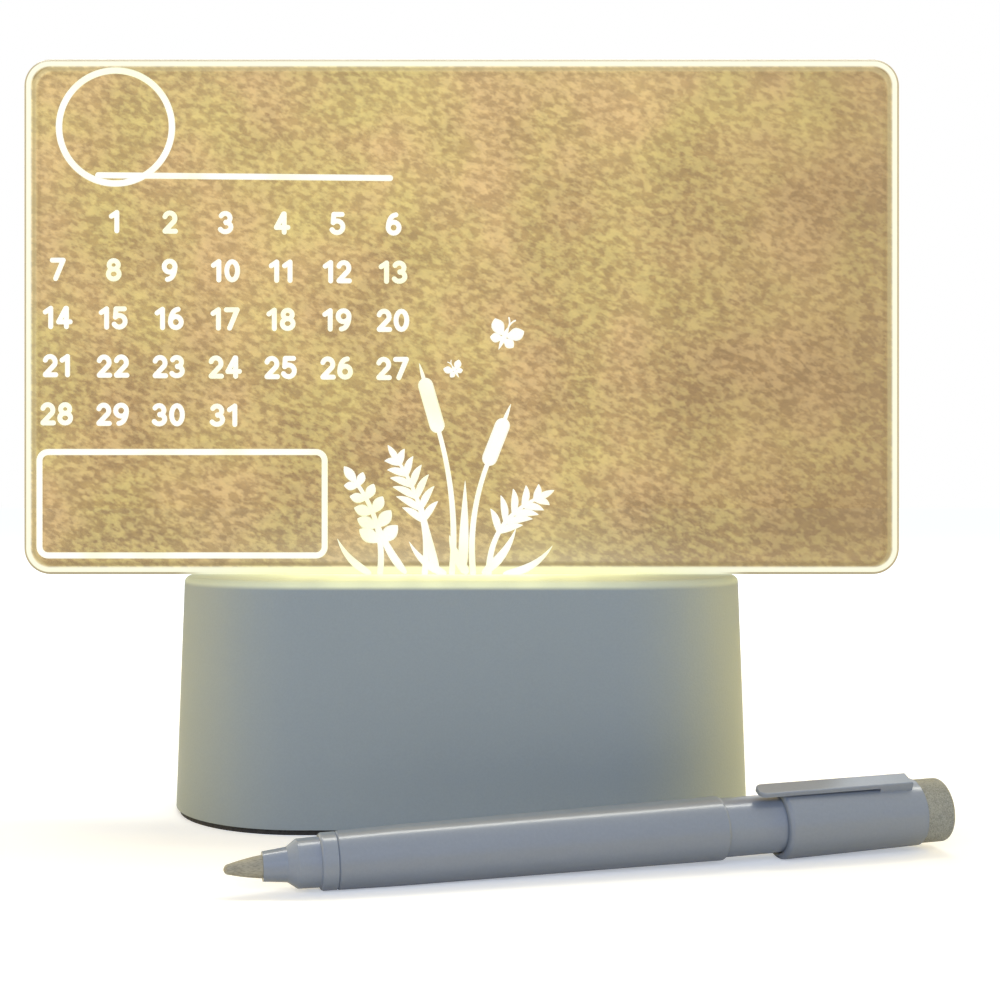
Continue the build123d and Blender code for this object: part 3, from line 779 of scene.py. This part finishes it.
@dataclass
class Numerals:
    """The calendar's plain numerals, drawn with a round-ended stroke in a box one wide and one high."""

    height_mm: float = 5.35
    width_mm: float = 3.65
    stroke_mm: float = 1.18
    narrow_share: float = 0.5
    gap_mm: float = 0.28
    narrow_bearing_mm: float = 0.35
    first_column_mm: float = -92.15
    column_pitch_mm: float = 12.77
    first_row_mm: float = 133.65
    row_pitch_mm: float = 11.0
    lean: float = -0.0085
    columns: int = 7
    first_place: int = 1
    last_number: int = 31

    @staticmethod
    def lines(*corners: Pair) -> list[tuple[Array, Outline]]:
        """Straight strokes from corner to corner."""
        return [(straight(*ends), Outline.ROUND) for ends in zip(corners, corners[1:])]

    def strokes(self, digit: int) -> list[tuple[Array, Outline]]:
        """The centre lines of one digit.

        Args:
            digit: 0 to 9.

        Returns:
            Lines in the unit box, each with the way it ends.
        """
        line, loop, lines = Outline.ROUND, Outline.LOOP, self.lines
        six = [(oval((0.5, 0.30), (0.5, 0.30)), loop),
               (bowed((0.0, 0.32), (0.70, 1.0), 0.20, np.linspace(0.0, 1.0, 10)), line)]
        table = {
            0: [(oval((0.5, 0.5), (0.5, 0.5)), loop)],
            1: lines((0.0, 0.80), (0.5, 1.0), (0.5, 0.0)),
            2: [(np.concatenate((arc((0.48, 0.70), (0.47, 0.30), 160.0, -32.0), [[0.04, 0.02]])), line),
                *lines((0.04, 0.0), (1.0, 0.0))],
            3: [(arc((0.44, 0.745), (0.44, 0.255), 150.0, -80.0), line),
                (arc((0.44, 0.26), (0.52, 0.26), 84.0, -150.0), line)],
            4: lines((0.66, 1.0), (0.0, 0.26), (1.06, 0.26)) + lines((0.72, 1.0), (0.72, 0.0)),
            5: [*lines((0.90, 1.0), (0.14, 1.0), (0.08, 0.55)),
                (arc((0.44, 0.32), (0.54, 0.32), 130.0, -150.0), line)],
            6: six,
            7: lines((0.0, 1.0), (1.0, 1.0), (0.30, 0.0)),
            8: [(oval((0.5, 0.765), (0.42, 0.235)), loop), (oval((0.5, 0.27), (0.5, 0.27)), loop)],
            9: [(1.0 - path, outline) for path, outline in six],
        }
        return table[digit]

    def build(self, ink: Material) -> None:
        """Draws every number centred on its place in the grid.

        Args:
            ink: the print's material.
        """
        sheet = PrintSheet()
        line_width, line_height = self.width_mm - self.stroke_mm, self.height_mm - self.stroke_mm
        for number in range(1, self.last_number + 1):
            row, column = divmod(number - 1 + self.first_place, self.columns)
            digits = [int(d) for d in str(number)]
            bearing = self.narrow_bearing_mm if len(digits) > 1 else 0.0
            sizes = [self.stroke_mm + line_width * self.narrow_share + bearing if d == 1 else self.width_mm
                     for d in digits]
            right_mm, down_mm = column * self.column_pitch_mm, row * self.row_pitch_mm
            left = (self.first_column_mm + right_mm + self.lean * down_mm
                    - (sum(sizes) + self.gap_mm * (len(digits) - 1)) / 2.0)
            bottom = self.first_row_mm - down_mm + self.lean * right_mm - line_height / 2.0
            for digit, size in zip(digits, sizes):
                for path, outline in self.strokes(digit):
                    placed = path * [line_width, line_height] + [left + self.stroke_mm / 2.0, bottom]
                    sheet.ridge(placed, self.stroke_mm / 2.0, outline)
                left += size + self.gap_mm
        sheet.build("print_numerals", ink)


@dataclass
class PlainMarks:
    """The ring, the rule and the memo frame of the print."""

    ring_centre: Pair = (-79.07, 155.16)
    ring_radius_mm: float = 12.9
    ring_stroke_mm: float = 1.52
    rule_start: Pair = (-83.0, 144.15)
    rule_stop: Pair = (-16.35, 143.5)
    frame_low: Pair = (-96.43, 57.3)
    frame_high: Pair = (-31.28, 80.92)
    frame_corner_mm: float = 2.0
    line_stroke_mm: float = 1.42

    def build(self, ink: Material) -> None:
        """Draws the three marks, each as a piece of its own.

        Args:
            ink: the print's material.
        """
        circle = oval(self.ring_centre, (self.ring_radius_mm,) * 2, 96)
        rule = straight(self.rule_start, self.rule_stop, 24)
        marks = (("print_ring", circle, self.ring_stroke_mm, Outline.LOOP),
                 ("print_rule", rule, self.line_stroke_mm, Outline.ROUND),
                 ("print_memo_frame", self.frame_line(), self.line_stroke_mm, Outline.LOOP))
        for name, line, stroke, outline in marks:
            sheet = PrintSheet()
            sheet.ridge(line, stroke / 2.0, outline)
            sheet.build(name, ink)

    def frame_line(self) -> Array:
        """The memo frame's line: four straight runs joined by quarter circles, as one loop."""
        low, high = np.array(self.frame_low), np.array(self.frame_high)
        r = self.frame_corner_mm
        corners = ((high - r, 0.0), ((low[0] + r, high[1] - r), 90.0), (low + r, 180.0),
                   ((high[0] - r, low[1] + r), 270.0))
        bends = [arc(centre, (r, r), start, start + 90.0, 9) for centre, start in corners]
        parts = []
        for bend, after in zip(bends, bends[1:] + bends[:1]):
            parts += [bend, straight(bend[-1], after[0], 12)[1:-1]]
        return np.concatenate(parts)


@dataclass
class PlantPicture:
    """A picture of plants that grow from the base: bulrushes, a twig, fronds, blades, and two moths above.

    A spread or a turn is in degrees, away from where a stem or a moth points.
    """

    ground_mm: float = 53.4
    stem_mm: float = 1.5
    stem_stations: int = 24
    head_half_mm: float = 1.75
    head_point_mm: float = 5.4
    twig_leaf_mm: float = 5.6
    twig_shrink_mm: float = 0.55
    twig_spread: float = 52.0
    frond_leaf_mm: float = 6.6
    frond_shrink_mm: float = 4.0
    frond_spread: float = 44.0
    blade_bow: float = 0.14
    wing_turns: Pair = (52.0, 118.0)
    feeler_turn: float = 20.0
    sheet: PrintSheet = field(default_factory=PrintSheet)

    def build(self, ink: Material) -> None:
        """Draws all the plants on one sheet.

        Args:
            ink: the print's material.
        """
        self.bulrush(-2.2, (-5.6, 87.0), -1.6, 9.5)
        self.bulrush(2.6, (6.4, 79.5), 1.6, 8.0)
        self.twig(-18.6, (-24.6, 74.6), -2.2, 5)
        self.frond(-8.4, (-14.6, 79.0), -2.4, 6)
        self.frond(6.2, (17.4, 70.4), 3.2, 5)
        self.blades()
        self.moth(np.array((9.8, 107.4)), 4.6, -24.0)
        self.moth(np.array((-1.6, 99.6)), 2.6, 30.0)
        self.sheet.build("print_plants", ink)

    def stem(self, foot: float, tip: Pair, bow: float, tip_share: float = 0.6) -> Array:
        """Draws a stem that narrows evenly along a parabola.

        Args:
            foot: where it leaves the ground.
            tip: where it ends.
            bow: how far it bows to the left.
            tip_share: its width at the tip, as a share of that at the foot.

        Returns:
            The stations.
        """
        t = np.linspace(0.0, 1.0, self.stem_stations)
        line = bowed((foot, self.ground_mm), tip, bow, t)
        self.sheet.ridge(line, self.stem_mm / 2.0 * (1.0 - (1.0 - tip_share) * t), Outline.ROUND)
        return line

    @staticmethod
    def at(line: Array, share: float) -> tuple[Array, Array]:
        """The point at a share of a line's stations, and the line's direction there."""
        place = share * (len(line) - 1)
        index = min(int(place), len(line) - 2)
        step = line[index + 1] - line[index]
        return line[index] + (place - index) * step, step / np.linalg.norm(step)

    def bulrush(self, foot: float, tip: Pair, bow: float, head_mm: float) -> None:
        """A bulrush: a stem through a thick round-ended head, with a fine point above it.

        Args:
            foot, tip, bow: its stem's, which ends where the head starts.
            head_mm: the head's length.
        """
        point, ahead = self.at(self.stem(foot, tip, bow, 0.7), 1.0)
        top = point + ahead * head_mm
        self.sheet.ridge(straight(point, top, 8), self.head_half_mm, Outline.ROUND)
        self.sheet.leaf(top - ahead * 0.5, top + ahead * self.head_point_mm, 0.95, 0.0, 0.7)

    def twig(self, foot: float, tip: Pair, bow: float, pairs: int) -> None:
        """A bent twig with pairs of broad leaves that get smaller towards its tip.

        Args:
            foot, tip, bow: its stem's.
            pairs: how many pairs it carries.
        """
        line = self.stem(foot, tip, bow)
        for index, share in enumerate(np.linspace(0.30, 0.92, pairs)):
            point, ahead = self.at(line, share)
            length = self.twig_leaf_mm - self.twig_shrink_mm * index
            for side in (-1.0, 1.0):
                way = turned(ahead, side * self.twig_spread)
                self.sheet.leaf(point, point + way * length, length * 0.60, 0.0, 1.15)
        point, ahead = self.at(line, 1.0)
        self.sheet.leaf(point - ahead, point + ahead * 3.8, 2.3, 0.0, 1.1)

    def frond(self, foot: float, tip: Pair, bow: float, pairs: int) -> None:
        """A bare stem that carries pairs of narrow leaflets, swept forwards, on its upper part.

        Args:
            foot, tip, bow: its stem's.
            pairs: how many pairs it carries.
        """
        line = self.stem(foot, tip, bow, 0.5)
        for index, share in enumerate(np.linspace(0.42, 0.95, pairs)):
            point, ahead = self.at(line, share)
            length = self.frond_leaf_mm - self.frond_shrink_mm * abs(index / (pairs - 1) - 0.25) ** 1.4
            for side in (-1.0, 1.0):
                way = turned(ahead, side * self.frond_spread)
                self.sheet.leaf(point, point + way * length, 1.75, -side * 0.5, 0.9)
        point, ahead = self.at(line, 1.0)
        self.sheet.leaf(point - ahead, point + ahead * 4.2, 1.6)

    def blades(self) -> None:
        """Broad blades between the plants, by foot, top, height and width, and widest near the ground."""
        blades = ((-12.6, -19.4, 66.0, 1.9), (-5.4, -9.2, 70.5, 2.1), (-3.4, -12.0, 60.5, 2.0),
                  (0.2, 0.8, 74.5, 2.3), (1.4, -2.8, 62.0, 2.4), (4.6, 12.4, 63.5, 2.2),
                  (9.4, 20.8, 59.6, 1.9), (-20.6, -28.4, 61.2, 1.8))
        for foot, top, height, width in blades:
            root, tip = np.array([foot, self.ground_mm - 0.3]), np.array([top, height])
            self.sheet.leaf(root, tip, width, (foot - top) * self.blade_bow, 0.55, 13)

    def moth(self, centre: Array, size_mm: float, lean: float) -> None:
        """A moth with its wings spread: two wide upper wings, two small lower ones, a body and feelers.

        Args:
            centre: the middle of its body.
            size_mm: the length of an upper wing.
            lean: how far it leans to the left, in degrees.
        """
        up = turned(np.array([0.0, size_mm]), lean)
        self.sheet.leaf(centre - up * 0.75, centre + up * 0.55, size_mm * 0.26, 0.0, 1.1)
        for side in (-1.0, 1.0):
            upper, lower = (turned(up, side * turn) for turn in self.wing_turns)
            feeler = turned(up, side * self.feeler_turn)
            head = centre + up * 0.45
            bend = bowed(head, head + feeler * 0.5, -side * size_mm * 0.05, np.linspace(0.0, 1.0, 6))
            self.sheet.leaf(centre, centre + upper, size_mm * 0.66, side * size_mm * 0.06, 1.35)
            self.sheet.leaf(centre - up * 0.12, centre + lower * 0.72, size_mm * 0.50, 0.0, 1.3)
            self.sheet.ridge(bend, size_mm * 0.040, Outline.ROUND)


@dataclass
class WritingBoard:
    """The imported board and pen, dressed with a finish for every node."""

    width_mm: float = 200.0
    height_mm: float = 117.7
    lowest_mm: float = 53.0
    corner_mm: float = 6.0
    shell_colour: Colour = (0.253, 0.306, 0.360)
    pen_colour: Colour = (0.182, 0.222, 0.305)
    steel_nodes: tuple[str, ...] = ("cover_screws", "led_board_screws", "control_board_screws", "usb_shell")

    def finishes(self) -> dict[str, Finish]:
        """A finish for every node that isn't steel.

        The numbers after a colour are in the order of Plastic's or Felt's fields.

        Returns:
            Finishes by the node's name.
        """
        shell, pen = self.shell_colour, self.pen_colour
        half_height = self.height_mm / 2.0
        black = (0.018, 0.018, 0.020)
        dark = (0.022, 0.022, 0.024)
        return {
            "acrylic_panel": EdgeLitAcrylic("edge_lit_acrylic", self.lowest_mm + half_height,
                                            self.width_mm / 2.0, half_height, self.corner_mm),
            "base_shell": LampLitPlastic("grained_shell", shell, 0.50, 0.42, 0.035, 0.04, 22.0),
            "bottom_cover": Plastic("grained_cover", times(shell, 0.92), 0.55),
            "power_button": Plastic("satin_button", times(shell, 1.12), 0.36, 0.25, 0.012),
            "anti_slip_pad": Foam("black_foam", dark),
            "led_board": SolderMask("white_solder_mask", (0.80, 0.80, 0.77), (0.62, 0.62, 0.58)),
            "control_board": SolderMask("green_solder_mask", (0.012, 0.10, 0.045), (0.03, 0.20, 0.09),
                                        (90.0, 0.0, 0.0)),
            "led_chips": Phosphor("lamp_phosphor"),
            "driver_chip": Plastic("moulded_chip", black, 0.45, 0.2, 0.015, 0.2, 1.5),
            "chip_resistors": Plastic("glazed_resistors", (0.035, 0.035, 0.042), 0.30, 0.2, 0.01, 0.2, 1.0),
            "usb_tongue": Plastic("moulded_insulator", black, 0.40, 0.2, 0.01, 0.15, 2.0),
            "switch_body": Plastic("switch_case", black, 0.42, 0.2, 0.012, 0.15, 2.0),
            "switch_plunger": Plastic("switch_plunger", (0.60, 0.60, 0.57), 0.38, 0.2, 0.01, 0.05, 2.0),
            "wire_red": Plastic("red_insulation", (0.50, 0.020, 0.016), 0.34, 0.5, 0.01, 0.12, 3.0),
            "wire_black": Plastic("black_insulation", dark, 0.34, 0.5, 0.01, 0.2, 3.0),
            "pen_barrel": Plastic("satin_barrel", pen, 0.33, 0.55, 0.012, 0.05, 11.0, 0.8),
            "pen_nose": Plastic("satin_nose", times(pen, 1.06), 0.32, 0.5, 0.012, 0.05, 5.0, 0.8),
            "tail_plug": Plastic("satin_tail", times(pen, 1.03), 0.33, 0.5, 0.012, 0.05, 6.0, 0.8),
            "pen_cap": Plastic("satin_cap", pen, 0.34, 0.55, 0.012, 0.05, 9.0, 0.8),
            "pen_nib": Felt("pressed_nib", (0.36, 0.35, 0.30), 0.16, 0.05, (6.0, 1.0, 1.0)),
            "felt_eraser": Felt("felt_eraser", (0.30, 0.32, 0.32), 0.30, 0.22, (1.0, 1.0, 1.0)),
            "ink_filler": Felt("fibre_rod", (0.62, 0.62, 0.60), 0.22, 0.06, (8.0, 1.0, 1.0)),
        }

    def dress(self) -> None:
        """Gives every node its material, and stops if a node has none."""
        steel = PlatedSteel("plated_steel").build()
        made = {name: finish.build() for name, finish in self.finishes().items()}
        made.update({name: steel for name in self.steel_nodes})
        for name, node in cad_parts.items():
            for place in node.material_slots:
                place.link = "DATA"
                place.material = made[name]
            log.info("%s: %s", name, made[name].name)


@dataclass
class Lamp:
    """A soft box: its place, size, power and colour, whether gloss mirrors it, and what it points at."""

    name: str
    place: Triple
    size: Pair
    watts: float
    colour: Colour = (1.0, 1.0, 1.0)
    mirrored: bool = True
    target: Triple = (0.0, 0.0, 0.07)

    def build(self) -> None:
        """Adds the lamp, which the camera doesn't see."""
        data = bpy.data.lights.new(self.name, "AREA")
        data.shape = "RECTANGLE"
        data.size, data.size_y = self.size
        data.energy = self.watts
        data.color = self.colour
        lamp = added(self.name, data)
        lamp.visible_camera = False
        lamp.visible_glossy = self.mirrored
        lamp.location = self.place
        way = Vector(self.target) - Vector(self.place)
        lamp.rotation_euler = way.to_track_quat("-Z", "Y").to_euler()


@dataclass
class Studio:
    """The camera, a pale floor, a white surround and soft lamps."""

    camera_place: Triple = (0.0065, -0.338, 0.06996)
    lens_mm: float = 52.956
    sensor_mm: float = 36.0
    lens_shift: float = 0.0099
    clip: Pair = (0.01, 100.0)
    floor_half: float = 12.0
    floor_colour: Colour = (0.80, 0.80, 0.79)
    floor_glow: Colour = (0.82, 0.88, 1.0)
    floor_near: float = 0.43
    floor_gain: float = 0.77
    floor_fade_mm: Pair = (140.0, 900.0)
    ambient: Colour = (0.95, 0.98, 1.0)
    ambient_strength: float = 0.21
    lamps: tuple[Lamp, ...] = (
        Lamp("front_box", (-0.15, -1.15, 0.60), (1.3, 0.5), 8.6, (0.865, 0.905, 1.0), False),
        Lamp("back_strip", (0.05, 0.34, 1.15), (1.7, 0.22), 9.0, (1.0, 0.98, 0.88)),
        Lamp("back_box", (0.25, 1.10, 1.35), (0.9, 0.5), 3.0, (0.84, 0.93, 1.0)),
        Lamp("left_box", (-0.85, 0.12, 0.28), (0.5, 0.5), 5.5, (1.0, 0.68, 0.06), False),
        Lamp("right_box", (0.85, 0.12, 0.28), (0.5, 0.5), 7.6, (1.0, 0.71, 0.10), False),
    )

    def build(self) -> None:
        """Sets up everything that isn't part of the object."""
        for lamp in self.lamps:
            lamp.build()
        self.floor()
        self.surround()
        self.camera()
        bpy.context.scene.view_settings.view_transform = "Standard"

    def camera(self) -> None:
        """Adds the camera, which looks straight along +Y."""
        data = bpy.data.cameras.new("camera")
        data.sensor_width = self.sensor_mm
        data.lens = self.lens_mm
        data.shift_x = self.lens_shift
        data.clip_start, data.clip_end = self.clip
        camera = added("camera", data)
        camera.location = self.camera_place
        camera.rotation_euler = Euler((math.pi / 2.0, 0.0, 0.0), "XYZ")
        bpy.context.scene.camera = camera

    def floor(self) -> None:
        """Adds the floor, which the camera sees brighter, most of all far off, so that only shadow shows."""
        half = self.floor_half
        mesh = bpy.data.meshes.new("floor")
        mesh.from_pydata([(-half, -half, 0.0), (half, -half, 0.0), (half, half, 0.0), (-half, half, 0.0)],
                         [], [(0, 1, 2, 3)])
        recipe = Recipe(bpy.data.materials.new("pale_floor"))
        seen = recipe.out(recipe.node("ShaderNodeLightPath"), "Is Camera Ray")
        x, y, _ = recipe.millimetres()
        far = ((x ** 2.0 + y ** 2.0) ** 0.5).step(*self.floor_fade_mm)
        glow = recipe.scaled(self.floor_glow, seen * (self.floor_near + self.floor_gain * far))
        mesh.materials.append(recipe.finish(recipe.principled(
            Base_Color=self.floor_colour, Roughness=0.9, Specular_IOR_Level=0.0, Emission_Color=glow,
            Emission_Strength=1.0)))
        floor = added("floor", mesh)

    def surround(self) -> None:
        """Makes the world white to the camera and to glossy surfaces, and plain light for the rest."""
        world = bpy.data.worlds.new("surround")
        bpy.context.scene.world = world
        recipe = Recipe(world)
        path = recipe.node("ShaderNodeLightPath")
        seen = recipe.out(path, "Is Camera Ray").at_least(
            recipe.out(path, "Is Glossy Ray").at_least(recipe.out(path, "Is Transmission Ray")))
        plain = recipe.out(recipe.node("ShaderNodeBackground", inputs={
            "Color": (*self.ambient, 1.0), "Strength": self.ambient_strength}))
        white = recipe.out(recipe.node("ShaderNodeBackground", inputs={
            "Color": (1.0, 1.0, 1.0, 1.0), "Strength": 1.0}))
        recipe.finish(recipe.shade(seen, plain, white))


def main() -> None:
    """Dresses the board, prints on its panel and sets up the studio."""
    logging.basicConfig(level=logging.INFO, format="%(name)s %(message)s")
    WritingBoard().dress()
    ink = GlowingInk("glowing_ink").build()
    Numerals().build(ink)
    PlainMarks().build(ink)
    PlantPicture().build(ink)
    Studio().build()


if __name__ == "__main__":
    main()
